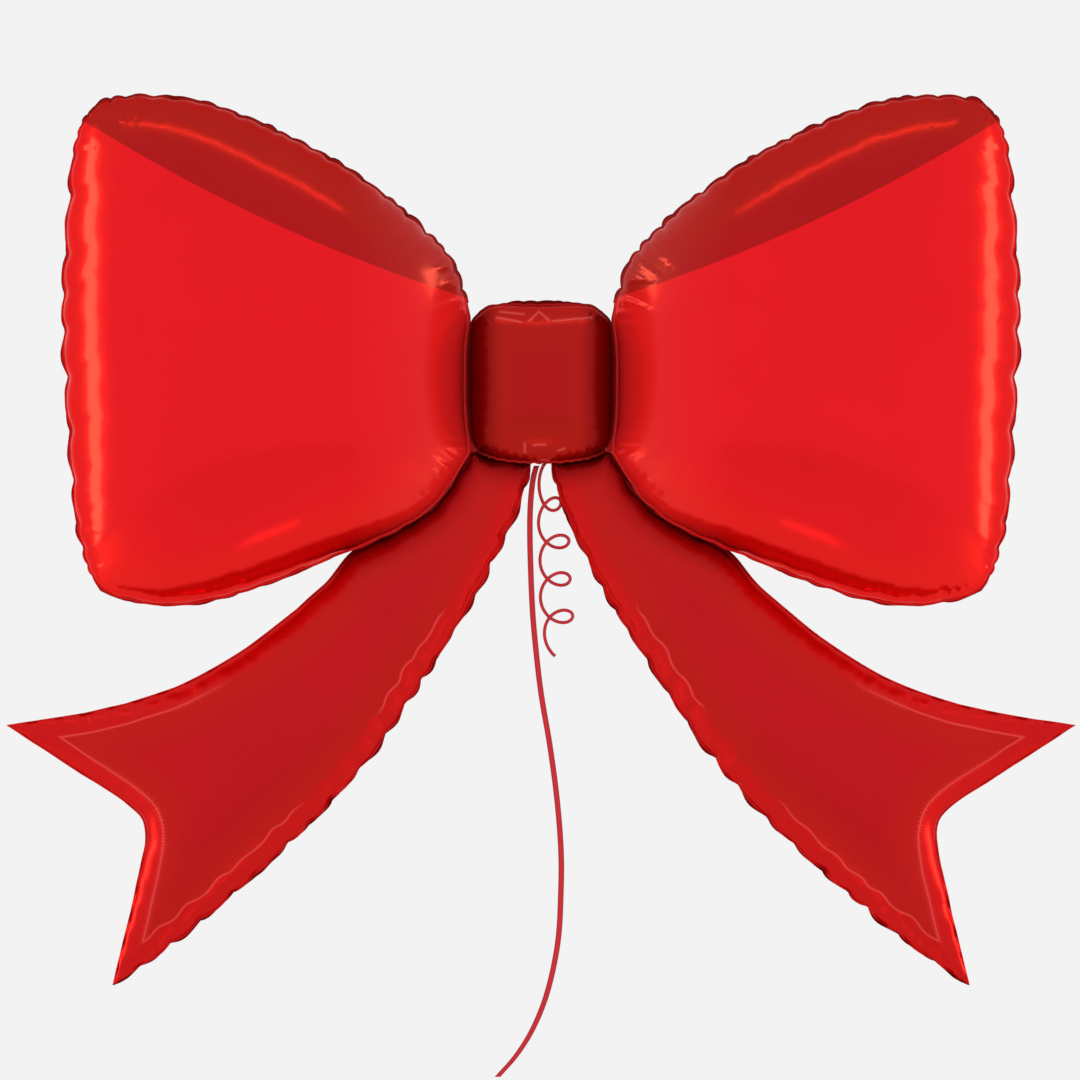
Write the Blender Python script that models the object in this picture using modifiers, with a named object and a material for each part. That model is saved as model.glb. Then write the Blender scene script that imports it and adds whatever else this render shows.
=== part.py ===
"""Bow-shaped foil balloon with a knot, two loops, two swallow-tailed tails and two ribbons.

Metres, +Z up. The front faces -Y and +X is to the right of someone looking at the front. The
origin is the middle of the knot's bottom seam, where the filling neck starts and is tied.
Every chamber is two films that meet in one seam plane. The right side mirrors the left side.
"""

import math

import bmesh
import bpy
import numpy as np

MM = 0.001

FILM = 0.0005            # film thickness in this model; the real film is about 0.03 mm
SEAM_GAP = 0.0003        # between the front and the back film at the seam
SEAM_WIDTH = 0.0045      # flat welded margin round every chamber
TOUCH_GAP = 0.0003       # between pieces that touch

LOOP_BULGE = 0.100       # how far a film stands from its seam plane at the fullest place
KNOT_BULGE = 0.044
TAIL_BULGE = 0.042
BULGE_POWER = 0.6        # 0.5 would be a half ellipse
TAIL_SETBACK = 0.006     # the tails' seam plane lies behind that of the loops and the knot

# Outlines of the left side in millimetres, (x, z), each from its first corner to its last.
LOOP_INNER = [(-71, 150), (-71, 112), (-71, 78), (-71, 46), (-66, 10)]
LOOP_OUTER = [(-413, 335), (-433, 299), (-442, 232), (-446, 120), (-436, -33), (-423, -91), (-404, -119)]
LOOP_TOP = [(-71, 150), (-77, 180), (-92, 204), (-140, 248), (-206, 292), (-294, 332), (-359, 342),
            (-413, 335)]
LOOP_BOTTOM = [(-66, 10), (-94, -33), (-128, -59), (-196, -89), (-280, -121), (-336, -132), (-404, -119)]

KNOT_SIDE = [(-60, 143), (-66, 118), (-67, 75), (-66, 35), (-60, 8)]
KNOT_TOP = [(-60, 143), (-35, 150), (0, 151), (35, 150), (60, 143)]
KNOT_BOTTOM = [(-60, 8), (-35, 1.5), (0, 0), (35, 1.5), (60, 8)]

TAIL_ROOT = [(-64, 14), (-50, 9), (-30, 4.5), (-9, 2.5)]
TAIL_UPPER = [(-64, 14), (-72, 1), (-95.5, -33.5), (-129, -58), (-174, -79.5), (-206, -115), (-271, -168),
              (-336, -205), (-410, -228), (-498, -243)]
TAIL_LOWER = [(-9, 2.5), (-12, -17), (-30, -63), (-57, -117), (-100, -187), (-154, -268), (-207, -328),
              (-275, -392), (-345, -450), (-399, -485)]
TAIL_END = [(-498, -243), (-434, -285), (-385, -317), (-369, -340), (-376, -387), (-399, -485)]

HINGE_WELD_X = (-0.0706, -0.0674)
HINGE_WELD_Z = (0.060, 0.108)
TAIL_WEB_X = (-0.036, -0.020)
TAIL_WEB_Z = (0.0026, 0.0034)

NECK_GATHER = (0.009, 0.0110, 0.0012)      # width, length and thickness of the bunched neck
NECK_GATHER_Z = 0.0022
TIE_CENTRE_Y = 0.014
TIE_LENGTH = 0.004
TIE_HOLE = (0.0054, 0.0013)                # half width and half height
TIE_BAND = (0.0072, 0.0030)
# The filling neck from the tie, up behind the knot: (y, z) in millimetres, then half widths.
NECK_PATH = [(14.0, 2.2), (20, 2.6), (28, 7), (37, 16), (44, 26), (48.5, 36), (50, 46)]
NECK_FLAP_TOP = 104
NECK_HALF_WIDTHS = (4.5, 17.0)
NECK_CLEAR_OF_TIE = 2                       # places of the path left out, so the neck starts past the tie
NECK_OPEN_SHARE = 0.9                       # share of the bend over which the neck fans out

VALVE_HALF_WIDTH = 0.011
VALVE_Z = (0.006, 0.066)
VALVE_FILMS_Y = (("valve_front_film", -0.0008), ("valve_back_film", 0.0003))

# Hanging ribbon: (x, y, z) in millimetres, from the tie to its cut end.
TETHER_WIDTH = 0.005
TETHER_ROUTE = [(-4.0, 14, -1.4), (-6.0, 14, -8), (-8.2, 14, -20), (-10.0, 14, -42), (-10.2, 14, -74),
                (-8.4, 14, -127), (-5.6, 15, -164), (0.0, 16, -213), (8.4, 16, -263), (14.9, 16, -312),
                (18.6, 15, -359), (18.6, 14, -398), (15.8, 13, -445), (6.5, 12, -490), (-6.5, 12, -524),
                (-22.3, 12, -550), (-40.5, 12, -571)]
TETHER_POINTS = 48
# Curled ribbon: the middle of its curls and their outer radius, (x, z, radius) in millimetres.
CURL_ROUTE = [(5.5, -1.4, 1.5), (6.0, -8, 2.5), (7.2, -17, 4.0), (8.4, -27, 6.0), (9.2, -38, 9.6),
              (10.5, -52, 13), (12.0, -71, 15.5), (13.0, -108, 15.5), (14.0, -140, 16.5),
              (15.5, -160, 15), (17.0, -177, 8)]
CURL_POINTS = 26
CURL_Y = 0.014

LOOP_RED = (0.807, 0.013, 0.019, 1)
KNOT_RED = (0.434, 0.011, 0.011, 1)
TAIL_RED = (0.503, 0.011, 0.014, 1)
RIBBON_RED = (0.552, 0.037, 0.045, 1)
VALVE_CLEAR = (0.80, 0.80, 0.78, 1)


def start_clean():
    for thing in list(bpy.data.objects):
        bpy.data.objects.remove(thing, do_unlink=True)
    parts = bpy.data.collections.new("foil_bow_balloon")
    bpy.context.scene.collection.children.link(parts)
    return parts


def finish_material(name, colour, roughness, metallic):
    material = bpy.data.materials.new(name)
    material.use_nodes = True
    shader = material.node_tree.nodes["Principled BSDF"]
    shader.inputs["Base Color"].default_value = colour
    shader.inputs["Roughness"].default_value = roughness
    shader.inputs["Metallic"].default_value = metallic
    return material


def add_part(name, data, material):
    part = bpy.data.objects.new(name, data)
    data.materials.append(material)
    PARTS.objects.link(part)
    return part


def smooth_line(points, shares):
    """Places on one smooth line through the points, at these shares of its length."""
    points = np.array(points, float)
    ends = np.vstack([2 * points[0] - points[1], points, 2 * points[-1] - points[-2]])
    steps = np.linspace(0, 1, 8, endpoint=False)[:, None]
    pieces = []
    for a, b, c, d in zip(ends, ends[1:], ends[2:], ends[3:]):
        curve = 2 * b + (c - a) * steps + (2 * a - 5 * b + 4 * c - d) * steps**2
        pieces.append((curve + (3 * b - a - 3 * c + d) * steps**3) / 2)
    fine = np.vstack([*pieces, points[-1:]])
    run = np.concatenate([[0], np.cumsum(np.linalg.norm(np.diff(fine, axis=0), axis=1))])
    want = np.array(shares) * run[-1]
    return np.column_stack([np.interp(want, run, fine[:, k]) for k in range(fine.shape[1])])


def stations(count, margin):
    """Shares of an edge: the flat seam margin at each end, and between them closer near the ends."""
    between = 0.5 - 0.5 * np.cos(math.pi * np.arange(count + 1) / count)
    inside = margin + (1 - 2 * margin) * between
    return np.concatenate([[0], inside, [1]]), np.concatenate([[0], between, [1]])


def rise(between):
    return (4 * between * (1 - between)) ** BULGE_POWER


def length_of(points):
    line = smooth_line(points, np.linspace(0, 1, 33)) * MM
    return np.linalg.norm(np.diff(line, axis=0), axis=1).sum()


def blown_film(name, edges, counts, bulge, plane_y, towards, side, material):
    """One film of a chamber: a patch between four edge lines, bulged away from the seam plane."""
    first, last, upper, lower = edges
    along, along_rise = stations(counts[0], SEAM_WIDTH / (0.5 * (length_of(upper) + length_of(lower))))
    across, across_rise = stations(counts[1], SEAM_WIDTH / (0.5 * (length_of(first) + length_of(last))))
    start, end = smooth_line(first, across), smooth_line(last, across)
    top, bottom = smooth_line(upper, along), smooth_line(lower, along)
    heights = np.outer(rise(along_rise), rise(across_rise)) * bulge
    mesh = bmesh.new()
    grid = []
    for i, u in enumerate(along):
        row = []
        for j, v in enumerate(across):
            ruled = (1 - v) * top[i] + v * bottom[i] + (1 - u) * start[j] + u * end[j]
            corners = (1 - u) * ((1 - v) * start[0] + v * start[-1]) + u * ((1 - v) * end[0] + v * end[-1])
            x, z = (ruled - corners) * MM
            y = plane_y + towards * (SEAM_GAP / 2 + heights[i, j])
            row.append(mesh.verts.new((side * -x, y, z)))
        grid.append(row)
    for near, far in zip(grid, grid[1:]):
        for j in range(len(near) - 1):
            mesh.faces.new((near[j], near[j + 1], far[j + 1], far[j]))
    mesh.normal_update()
    if sum(face.normal.y for face in mesh.faces) * towards < 0:
        bmesh.ops.reverse_faces(mesh, faces=mesh.faces)
    data = bpy.data.meshes.new(name)
    mesh.to_mesh(data)
    mesh.free()
    data.shade_smooth()
    film = add_part(name, data, material)
    wall = film.modifiers.new("wall", "SOLIDIFY")
    wall.thickness = FILM
    wall.offset = 1
    return film


def chamber(name, edges, counts, bulge, plane_y, side, material):
    blown_film(f"{name}_front_film", edges, counts, bulge, plane_y, -1, side, material)
    blown_film(f"{name}_back_film", edges, counts, bulge, plane_y, 1, side, material)


def block(name, low, high, material):
    """A rectangular strip between two corners."""
    mesh = bmesh.new()
    bmesh.ops.create_cube(mesh, size=1)
    low, high = np.array(low), np.array(high)
    for vert in mesh.verts:
        vert.co = (low + high) / 2 + np.array(vert.co) * (high - low)
    data = bpy.data.meshes.new(name)
    mesh.to_mesh(data)
    mesh.free()
    return add_part(name, data, material)


def hinge_strips(side, name, material):
    """The welded strip between the knot and a loop, and the film web behind the knot to a tail."""
    near, far = sorted(side * -x for x in HINGE_WELD_X)
    half = FILM + SEAM_GAP / 2
    block(f"{name}_loop_hinge_weld", (near, -half, HINGE_WELD_Z[0]), (far, half, HINGE_WELD_Z[1]), material)
    near, far = sorted(side * -x for x in TAIL_WEB_X)
    start_y = half + TOUCH_GAP
    end_y = TAIL_SETBACK - half - TOUCH_GAP
    block(f"{name}_tail_hinge_web", (near, start_y, TAIL_WEB_Z[0]), (far, end_y, TAIL_WEB_Z[1]), material)


def neck_film(name, depth, material):
    """One film of the filling neck: a strip that leaves the tie and lies up behind the knot."""
    bend = smooth_line(NECK_PATH, np.linspace(0, 1, 11)) * MM
    path = np.vstack([bend, [bend[-1][0], NECK_FLAP_TOP * MM]])
    path = path[NECK_CLEAR_OF_TIE:]
    run = np.concatenate([[0], np.cumsum(np.linalg.norm(np.diff(path, axis=0), axis=1))])
    ease = np.clip(run / (run[-2] * NECK_OPEN_SHARE), 0, 1)
    widths = (NECK_HALF_WIDTHS[0] + (NECK_HALF_WIDTHS[1] - NECK_HALF_WIDTHS[0]) * ease) * MM
    tangents = np.gradient(path, axis=0)
    tangents /= np.linalg.norm(tangents, axis=1)[:, None]
    tangents[-2:] = (0, 1)
    mesh = bmesh.new()
    rows = []
    for (y, z), (ty, tz), half in zip(path, tangents, widths):
        y, z = y + tz * depth, z - ty * depth
        rows.append([mesh.verts.new((x, y, z)) for x in (-half, half)])
    for near, far in zip(rows, rows[1:]):
        mesh.faces.new((near[1], near[0], far[0], far[1]))
    mesh.normal_update()
    if sum(face.normal.y for face in mesh.faces) < 0:
        bmesh.ops.reverse_faces(mesh, faces=mesh.faces)
    data = bpy.data.meshes.new(name)
    mesh.to_mesh(data)
    mesh.free()
    film = add_part(name, data, material)
    wall = film.modifiers.new("wall", "SOLIDIFY")
    wall.thickness = FILM
    wall.offset = 1
    return film


def ribbon_tie(material):
    """The ribbon wound round the bunched neck: an oval band with an oval hole."""
    data = bpy.data.curves.new("ribbon_tie", "CURVE")
    data.dimensions = "2D"
    data.fill_mode = "BOTH"
    data.extrude = TIE_LENGTH / 2
    for half_width, half_height in (TIE_BAND, TIE_HOLE):
        oval = data.splines.new("POLY")
        oval.points.add(19)
        for k, point in enumerate(oval.points):
            angle = 2 * math.pi * k / len(oval.points)
            point.co = (half_width * math.cos(angle), half_height * math.sin(angle), 0, 1)
        oval.use_cyclic_u = True
    tie = add_part("ribbon_tie", data, material)
    tie.location = (0, TIE_CENTRE_Y, NECK_GATHER_Z)
    tie.rotation_euler = (math.pi / 2, 0, 0)
    return tie


def ribbon_tube(name, places, radii, material):
    """The round space that a ribbon takes: a tube on a smooth route with closed ends."""
    data = bpy.data.curves.new(name, "CURVE")
    data.dimensions = "3D"
    data.bevel_depth = 1.0
    data.bevel_resolution = 2
    data.use_fill_caps = True
    line = data.splines.new("POLY")
    line.points.add(len(places) - 1)
    for point, place, radius in zip(line.points, places, radii):
        point.co = (*place, 1)
        point.radius = radius
    tube = add_part(name, data, material)
    return tube


PARTS = start_clean()
loop_film = finish_material("loop_film", LOOP_RED, 0.25, 0.6)
knot_film = finish_material("knot_film", KNOT_RED, 0.25, 0.6)
tail_film = finish_material("tail_film", TAIL_RED, 0.25, 0.6)
valve_film = finish_material("valve_film", VALVE_CLEAR, 0.35, 0.0)
ribbon = finish_material("ribbon", RIBBON_RED, 0.35, 0.0)

for side, name in ((-1, "left"), (1, "right")):
    loop_edges = (LOOP_INNER, LOOP_OUTER, LOOP_TOP, LOOP_BOTTOM)
    chamber(f"{name}_loop", loop_edges, (12, 11), LOOP_BULGE, 0, side, loop_film)
    tail_edges = (TAIL_ROOT, TAIL_END, TAIL_UPPER, TAIL_LOWER)
    chamber(f"{name}_tail", tail_edges, (16, 7), TAIL_BULGE, TAIL_SETBACK, side, tail_film)
    hinge_strips(side, name, knot_film)

knot_other_side = [(-x, z) for x, z in KNOT_SIDE]
chamber("knot", (KNOT_SIDE, knot_other_side, KNOT_TOP, KNOT_BOTTOM), (9, 9), KNOT_BULGE, 0, 1, knot_film)

gather_half, gather_length, gather_thick = NECK_GATHER[0] / 2, NECK_GATHER[1], NECK_GATHER[2]
gather_start = FILM + SEAM_GAP / 2 + TOUCH_GAP
gather_low = (-gather_half, gather_start, NECK_GATHER_Z - gather_thick / 2)
gather_high = (gather_half, gather_start + gather_length, NECK_GATHER_Z + gather_thick / 2)
block("neck_gather", gather_low, gather_high, knot_film)
neck_film("neck_front_film", 0.0, knot_film)
neck_film("neck_back_film", FILM + SEAM_GAP, knot_film)
for name, y in VALVE_FILMS_Y:
    block(name, (-VALVE_HALF_WIDTH, y, VALVE_Z[0]), (VALVE_HALF_WIDTH, y + FILM, VALVE_Z[1]), valve_film)

ribbon_tie(ribbon)
tether = smooth_line(TETHER_ROUTE, np.linspace(0, 1, TETHER_POINTS)) * MM
ribbon_tube("tether_ribbon", tether, [TETHER_WIDTH / 2] * TETHER_POINTS, ribbon)
curl = smooth_line(CURL_ROUTE, np.linspace(0, 1, CURL_POINTS)) * MM
ribbon_tube("curled_ribbon", [(x, CURL_Y, z) for x, z, _ in curl], curl[:, 2], ribbon)
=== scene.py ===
# %% [markdown]
# # A foil balloon in the shape of a tied bow
#
# The bow is five gas-filled pouches of printed metallised film: two loops, a knot and two tails.
# Each pouch is two films welded along their edge, so it swells like a pillow and puckers at the
# seam. The working model comes first and fixes every place and size; this lesson only gives it
# its looks, and a piece that is remade here takes the place of the plain one it stands for.

import math

import bmesh
import bpy
import numpy as np
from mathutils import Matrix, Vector


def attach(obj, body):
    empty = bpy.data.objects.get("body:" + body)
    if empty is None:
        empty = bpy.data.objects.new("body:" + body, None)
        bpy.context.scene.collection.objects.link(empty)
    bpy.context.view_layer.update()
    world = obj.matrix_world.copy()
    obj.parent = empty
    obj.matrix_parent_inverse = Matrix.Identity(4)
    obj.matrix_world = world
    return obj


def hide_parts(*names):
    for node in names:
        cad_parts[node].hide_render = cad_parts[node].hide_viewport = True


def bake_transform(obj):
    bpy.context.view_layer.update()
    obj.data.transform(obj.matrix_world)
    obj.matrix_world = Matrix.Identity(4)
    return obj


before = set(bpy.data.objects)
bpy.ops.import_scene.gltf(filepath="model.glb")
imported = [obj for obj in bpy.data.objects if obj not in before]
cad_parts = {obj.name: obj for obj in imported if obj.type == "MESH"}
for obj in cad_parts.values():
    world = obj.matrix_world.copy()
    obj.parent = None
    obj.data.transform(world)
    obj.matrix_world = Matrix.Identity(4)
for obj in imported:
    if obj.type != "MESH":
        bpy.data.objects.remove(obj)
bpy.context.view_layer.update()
print("pieces of the working model:", sorted(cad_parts))

# %% [markdown]
# ## Camera
#
# The bow is seen straight from the front from far away with a long lens, so its outline hardly
# shrinks with depth. The picture is as wide as the two tail tips. The camera comes first, because
# the ribbons have to stay in its view.

# %% Place the camera
MM = 0.001
VIEW_WIDTH = 1004.4 * MM
VIEW_CENTRE = Vector((-0.9 * MM, 0.0, -70.7 * MM))
CAMERA_DISTANCE = 6.0

camera_data = bpy.data.cameras.new("camera")
camera_data.sensor_width = 36
camera_data.lens = camera_data.sensor_width * CAMERA_DISTANCE / VIEW_WIDTH
camera = bpy.data.objects.new("camera", camera_data)
bpy.context.scene.collection.objects.link(camera)
camera.location = VIEW_CENTRE + Vector((0, -CAMERA_DISTANCE, 0))
camera.rotation_euler = (math.radians(90), 0, 0)
bpy.context.scene.camera = camera
print("lens", round(camera_data.lens), "mm")

# %% [markdown]
# ## Helpers
#
# An outline or route is a short list of places. One smooth curve goes through them, and
# the pieces read as many places off it as they need. Everything is in metres in the end.


# %% Draw a smooth line through a few places
def smooth_line(points, shares):
    """Places on one smooth line through the points, at these shares of its length."""
    points = np.array(points, float)
    ends = np.vstack([2 * points[0] - points[1], points, 2 * points[-1] - points[-2]])
    steps = np.linspace(0, 1, 16, endpoint=False)[:, None]
    spans = []
    for a, b, c, d in zip(ends, ends[1:], ends[2:], ends[3:]):
        curve = 2 * b + (c - a) * steps + (2 * a - 5 * b + 4 * c - d) * steps**2
        spans.append((curve + (3 * b - a - 3 * c + d) * steps**3) / 2)
    fine = np.vstack([*spans, points[-1:]])
    run = np.concatenate([[0], np.cumsum(np.linalg.norm(np.diff(fine, axis=0), axis=1))])
    want = np.array(shares) * run[-1]
    return np.column_stack([np.interp(want, run, fine[:, k]) for k in range(fine.shape[1])])


def line_length(places):
    return float(np.linalg.norm(np.diff(np.array(places, float), axis=0), axis=1).sum())


def new_piece(name, data, material=None):
    piece = bpy.data.objects.new(name, data)
    bpy.context.scene.collection.objects.link(piece)
    if material:
        data.materials.append(material)
    return piece


# %% [markdown]
# ## Light, floor and air
#
# Foil is a mirror with a colour, so what it shows is its surroundings. The room is an even pale
# white, and long soft strips stand at the left, the right, above and below. Each strip is caught
# by the rounded margins of the pouches and draws the thin bright lines that make foil look tight.

# %% Build the studio
ROOM_WHITE = 0.896
FLOOR_Z = -0.95
FLOOR_RADIUS = 2.2
FLOOR_PAINT = (0.76, 0.76, 0.76, 1)
STRIP_ORANGE = (1.0, 0.92, 0.5)

world = bpy.data.worlds.new("room")
bpy.context.scene.world = world
world.use_nodes = True
air = world.node_tree.nodes["Background"]
air.inputs["Color"].default_value = (ROOM_WHITE, ROOM_WHITE, ROOM_WHITE, 1)
air.inputs["Strength"].default_value = 1.0
bpy.context.scene.view_settings.view_transform = "Standard"


def strip_light(name, place, aim, width, height, power):
    """A soft rectangle of light, out of the camera's sight."""
    data = bpy.data.lights.new(name, "AREA")
    data.shape = "RECTANGLE"
    data.size = width
    data.size_y = height
    data.energy = power
    data.color = STRIP_ORANGE
    light = bpy.data.objects.new(name, data)
    bpy.context.scene.collection.objects.link(light)
    light.location = place
    light.rotation_euler = (Vector(aim) - Vector(place)).to_track_quat("-Z", "Y").to_euler()
    light.visible_camera = False
    return light


strip_light("left_strip", (-2.6, -0.04, 0.3), (-0.4, 0, 0.15), 0.6, 2.4, 29)
strip_light("right_strip", (2.6, -0.04, 0.3), (0.4, 0, 0.15), 0.6, 2.4, 29)
strip_light("top_strip", (0, -0.62, 2.3), (0, 0, 0.3), 2.6, 0.12, 2.0)
strip_light("low_strip", (0, -0.42, -0.93), (0, 0, -0.1), 0.25, 0.12, 0.05)

floor_mesh = bmesh.new()
bmesh.ops.create_circle(floor_mesh, cap_ends=True, segments=96, radius=FLOOR_RADIUS)
floor_data = bpy.data.meshes.new("floor")
floor_mesh.to_mesh(floor_data)
floor_mesh.free()
floor_paint = bpy.data.materials.new("floor_paint")
floor_paint.use_nodes = True
floor_shader = floor_paint.node_tree.nodes["Principled BSDF"]
floor_shader.inputs["Base Color"].default_value = FLOOR_PAINT
floor_shader.inputs["Roughness"].default_value = 0.8
floor = new_piece("floor", floor_data, floor_paint)
floor.location = (0, 0, FLOOR_Z)

# %% [markdown]
# ## Materials
#
# The film is a metal layer under transparent red ink, so it is a tinted metal with a little plain
# ink colour under it. The loops carry two inks: bright red in front, and a darker red where the
# inside of a cloth loop would show. The border between them is a slight curve, worked out from
# the film's own coordinates. The same film has faint ripples and a finer grain in its gloss.


# %% Make a node tree easy to write
class Nodes:
    """Short names for making and joining the nodes of one tree."""

    def __init__(self, tree):
        self.tree = tree

    def feed(self, socket, given):
        """Gives a socket a plain value, or joins it to another node's output."""
        if isinstance(given, bpy.types.NodeSocket):
            self.tree.links.new(given, socket)
        else:
            socket.default_value = given

    def node(self, kind, inputs=None, **settings):
        made = self.tree.nodes.new(kind)
        for key, value in settings.items():
            setattr(made, key, value)
        for label, given in (inputs or {}).items():
            self.feed(made.inputs[label], given)
        return made

    def value(self, operation, *given, clamp=False):
        made = self.node("ShaderNodeMath", dict(enumerate(given)), operation=operation, use_clamp=clamp)
        return made.outputs[0]


class Ink(Nodes):
    """The nodes of a new material, with the shader that it ends in."""

    def __init__(self, name):
        self.material = bpy.data.materials.new(name)
        self.material.use_nodes = True
        super().__init__(self.material.node_tree)
        self.shader = self.tree.nodes["Principled BSDF"]
        self.where = self.node("ShaderNodeTexCoord").outputs["Object"]

    def finish(self, inputs):
        for label, given in inputs.items():
            self.feed(self.shader.inputs[label], given)

    def read(self, attribute):
        return self.node("ShaderNodeAttribute", attribute_name=attribute).outputs["Fac"]

    def axis(self, letter):
        return self.node("ShaderNodeSeparateXYZ", {0: self.where}).outputs[letter]

    def noise(self, scale, detail=2.0, roughness=0.5):
        sizes = {"Vector": self.where, "Scale": scale, "Detail": detail, "Roughness": roughness}
        return self.node("ShaderNodeTexNoise", sizes).outputs["Fac"]

    def vector(self, operation, inputs, result=0):
        return self.node("ShaderNodeVectorMath", inputs, operation=operation).outputs[result]

    def blend(self, amount, first, second, mode="MIX"):
        given = {0: amount, 6: first, 7: second}
        return self.node("ShaderNodeMix", given, data_type="RGBA", blend_type=mode).outputs[2]

    def tint(self, amount, colour, tone, mode="MULTIPLY"):
        """The colour, multiplied by the tone as far as the amount says."""
        return self.blend(amount, colour, self.blend(1.0, colour, tone, mode))

    def bell(self, offset, width):
        """1 where the offset is 0, fading to 0 past the width."""
        share = self.value("DIVIDE", offset, width)
        return self.value("EXPONENT", self.value("MULTIPLY", self.value("MULTIPLY", share, share), -1.0))

    def bump(self, height, strength, distance):
        made = self.node("ShaderNodeBump", {"Height": height, "Strength": strength, "Distance": distance})
        return made.outputs["Normal"]


# %% Mix the inks
BRIGHT_RED = (0.86, 0.0125, 0.0185, 1)
SHADE_RED = (0.46, 0.0110, 0.0125, 1)
TAIL_RED = (0.565, 0.0105, 0.0150, 1)
KNOT_RED = (0.47, 0.0105, 0.0120, 1)
# Painted shade: the weld strips and webs are coloured dark red, so the gaps between pouches read as shadow.
SHADOWED_STRIP_RED = (0.30, 0.006, 0.008, 1)
PAINTED_HIGHLIGHT_TINT = (1.0, 1.3, 0.85, 1)
PAINTED_SHADE_AND_DARK_WELD = (0.22, 0.15, 0.2, 1)
PAINTED_MARGIN_HIGHLIGHT = (1.13, 0.80, 0.95, 1)
PAINTED_CREASE_HIGHLIGHT = (0.25, 0.060, 0.055, 1)
GRAZING_TINT = (0.95, 0.44, 0.44, 1)
# The border between the inks rises from the knot to the outer corner: z = a + b|x| + c x^2.
BORDER = (0.1371, 0.2155, 0.4981)
CREASE_WIDTH = 0.9 * MM
CREASE_SHARE = 0.8
TICK_PITCH = 2.4 * MM
TICK_REACH = 2.6 * MM


def pressed_line(mix, start, end, width=1.1 * MM):
    """1 on a straight crease between two places of the front, fading to 0 beside it."""
    start, end = (Vector((x * MM, 0, z * MM)) for x, z in (start, end))
    way = end - start
    flat = mix.vector("MULTIPLY", {0: mix.where, 1: (1, 0, 1)})
    past = mix.vector("SUBTRACT", {0: flat, 1: start})
    along = mix.vector("DOT_PRODUCT", {0: past, 1: way / way.length_squared}, "Value")
    share = mix.value("MAXIMUM", mix.value("MINIMUM", along, 1.0), 0.0)
    foot = mix.vector("SCALE", {0: way, "Scale": share})
    return mix.bell(mix.vector("DISTANCE", {0: past, 1: foot}, "Value"), width)


def foil(name, ink, second_ink=None, crease=None, metal=0.9, rough=0.16, lines=()):
    """Printed foil with painted highlights and shade; crease is how far inside the weld a fine pressed line
    runs.
    """
    mix = Ink(name)
    colour = ink
    if second_ink:
        out = mix.value("ABSOLUTE", mix.axis("X"))
        slope = mix.value("MULTIPLY_ADD", out, BORDER[2], BORDER[1])
        above = mix.value("SUBTRACT", mix.axis("Z"), mix.value("MULTIPLY_ADD", out, slope, BORDER[0]))
        colour = mix.blend(mix.value("MULTIPLY_ADD", above, 1100.0, 0.5, clamp=True), ink, second_ink)
        # Beside the knot the film is folded and shows more ink than metal.
        folded = mix.value("MULTIPLY_ADD", out, -14.0, 2.5, clamp=True)
        metal = mix.value("MULTIPLY_ADD", folded, -0.75 * metal, metal)
    depth = mix.value("MULTIPLY_ADD", mix.noise(9.0, 3.0), 0.10, 0.95)
    patches = mix.node("ShaderNodeCombineColor", {0: depth, 1: depth, 2: depth}).outputs[0]
    colour = mix.blend(1.0, colour, patches, "MULTIPLY")
    # Painted highlight tint: the margin's colour is shifted orange, so the strip lights' highlights there
    # read orange.
    rim = mix.read("rim")
    margin = mix.node("ShaderNodeMapRange", {"Value": rim, "From Min": 0.050, "From Max": 0.030})
    colour = mix.tint(margin.outputs[0], colour, PAINTED_HIGHLIGHT_TINT)
    # Painted shade: the shade attribute darkens the colour where the tail lies under the loop and knot,
    # towards the knot's sides, and along the weld flanges.
    colour = mix.tint(mix.read("shade"), colour, PAINTED_SHADE_AND_DARK_WELD)
    height = None
    if crease:
        line_at = mix.value("MULTIPLY_ADD", mix.noise(14.0), 0.004, crease - 0.002)
        beyond = mix.value("SUBTRACT", rim, line_at)
        height = mix.value("MULTIPLY", mix.bell(beyond, CREASE_WIDTH), mix.read("pressed"))
        # Short ticks across the crease, where the film is gathered round the notch.
        tick = mix.value("SINE", mix.value("MULTIPLY", mix.read("along"), 2 * math.pi / TICK_PITCH))
        reach = mix.value("MULTIPLY", mix.bell(beyond, TICK_REACH), mix.read("gathered"))
        tick = mix.value("MULTIPLY", mix.value("MAXIMUM", tick, 0.0), reach)
        height = mix.value("MAXIMUM", height, mix.value("MULTIPLY", tick, 0.8))
        # Painted highlight: between the edge and the crease the margin's colour is lightened.
        inside = mix.value("MULTIPLY_ADD", beyond, -700.0, 0.5, clamp=True)
        colour = mix.tint(inside, colour, PAINTED_MARGIN_HIGHLIGHT)
    for start, end in lines:
        drawn = pressed_line(mix, start, end)
        height = mix.value("MAXIMUM", height, drawn) if height else drawn
    if lines:
        height = mix.value("MULTIPLY", height, mix.value("LESS_THAN", mix.axis("Y"), 0.0))
    relief = mix.noise(28.0, 5.0, 0.6)
    if height:
        # Painted highlight: the creases are lightened pinkish in the colour as well as bumped.
        colour = mix.tint(mix.value("MULTIPLY", height, CREASE_SHARE), colour, PAINTED_CREASE_HIGHLIGHT, "ADD")
        relief = mix.value("MULTIPLY_ADD", height, 1.2, relief)
    gloss = mix.value("MULTIPLY_ADD", mix.noise(160.0, 4.0), 0.08, rough - 0.04)
    sealed = mix.value("LESS_THAN", rim, -0.00005)
    mix.finish({"Base Color": colour, "Metallic": metal, "Specular Tint": GRAZING_TINT,
                "Specular IOR Level": 0.3, "Roughness": mix.value("MULTIPLY_ADD", sealed, 0.25, gloss),
                "Normal": mix.bump(relief, 0.2, 0.6 * MM)})
    return mix.material


loop_foil = foil("loop_foil", BRIGHT_RED, SHADE_RED)
tail_foil = foil("tail_foil", TAIL_RED, crease=17 * MM, rough=0.26)
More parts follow.
